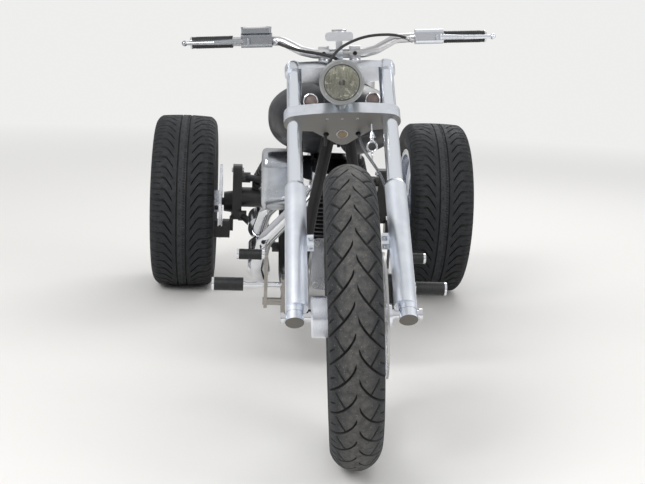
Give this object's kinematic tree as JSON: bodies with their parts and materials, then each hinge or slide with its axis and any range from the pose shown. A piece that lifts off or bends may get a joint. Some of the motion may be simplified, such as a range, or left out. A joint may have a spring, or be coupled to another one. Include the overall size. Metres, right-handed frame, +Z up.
{
  "type": "motorized trike",
  "caption": "Three-wheeled motorcycle with a raked wide fork, open V-twin in a tube cradle, and a rear axle beam on car-section tyres.",
  "frame": {"origin": "on the ground under the middle of the whole vehicle's box", "axes": "+X to the rider's left, +Y backwards along the vehicle's length, +Z up"},
  "size_m": [1.2066, 2.5848, 1.0183],
  "materials": {
    "tyre": "worn tread, matt",
    "wheel_aluminium": "polished",
    "rotor_steel": "ground",
    "slider_aluminium": "satin sliders, polished tubes",
    "polished_aluminium": "polished",
    "chrome": "mirror",
    "frame_black": "gloss black",
    "axle_black": "satin black",
    "engine_case": "cast and polished",
    "cylinder_black": "satin black fins",
    "tank_black": "matt black",
    "dash_polished": "polished",
    "seat_leather": "grained",
    "black_rubber": "matt",
    "control_metal": "satin",
    "lamp_red": "gloss"
  },
  "bodies": {
    "chassis": {"frame_backbone": "frame_black", "frame_downtube_left": "frame_black", "frame_downtube_right": "frame_black", "frame_rear": "frame_black", "frame_crossmembers": "frame_black", "crankcase": "engine_case", "cylinder_front": "cylinder_black", "cylinder_rear": "cylinder_black", "pushrod_tubes": "chrome", "primary_cover": "engine_case", "gearbox": "engine_case", "air_cleaner": "polished_aluminium", "fuel_tank": "tank_black", "tank_dash": "dash_polished", "saddle": "seat_leather", "oil_tank": "tank_black", "rear_beam": "axle_black", "drive_belt": "black_rubber", "mount_plate": "polished_aluminium", "tail_lamp": "lamp_red", "exhaust_front": "chrome", "exhaust_rear": "chrome", "axle_carrier_left": "axle_black", "axle_carrier_right": "axle_black", "suspension_left": "axle_black", "suspension_right": "axle_black", "control_left": "control_metal", "control_right": "control_metal"},
    "steering": {"steering_stem": "chrome", "lower_tree": "polished_aluminium", "upper_tree": "polished_aluminium", "fork_leg_left": "slider_aluminium", "fork_leg_right": "slider_aluminium", "front_axle": "chrome", "headlamp": "polished_aluminium", "front_indicators": "chrome", "handlebar": "chrome", "grips": "black_rubber", "brake_master": "polished_aluminium", "clutch_perch": "polished_aluminium", "gauge": "polished_aluminium", "front_caliper": "axle_black", "brake_hose": "black_rubber", "clutch_cable": "black_rubber", "key_clip": "chrome"},
    "front_wheel": {"front_tyre": "tyre", "front_wheel": "wheel_aluminium", "front_rotor": "rotor_steel"},
    "rear_wheel_left": {"rear_tyre_left": "tyre", "rear_wheel_left": "wheel_aluminium"},
    "rear_wheel_right": {"rear_tyre_right": "tyre", "rear_wheel_right": "wheel_aluminium"}
  },
  "joints": [
    {"name": "steering_turn", "type": "hinge", "parent": "chassis", "child": "steering", "pos_m": [0, -0.91547, 0.31755], "axis": [0, 0.7501, 0.6613], "range_deg": [-23.3, 32.7]},
    {"name": "front_wheel_spin", "type": "hinge", "parent": "steering", "child": "front_wheel", "pos_m": [-0.00344, -0.94316, 0.34895], "axis": [0.9966, -0.0542, 0.0615], "continuous": true},
    {"name": "rear_left_spin", "type": "hinge", "parent": "chassis", "child": "rear_wheel_left", "pos_m": [0.485, 0.95875, 0.334], "axis": [1, 0, 0], "continuous": true},
    {"name": "rear_right_spin", "type": "hinge", "parent": "chassis", "child": "rear_wheel_right", "pos_m": [-0.485, 0.95875, 0.334], "axis": [1, 0, 0], "continuous": true}
  ]
}
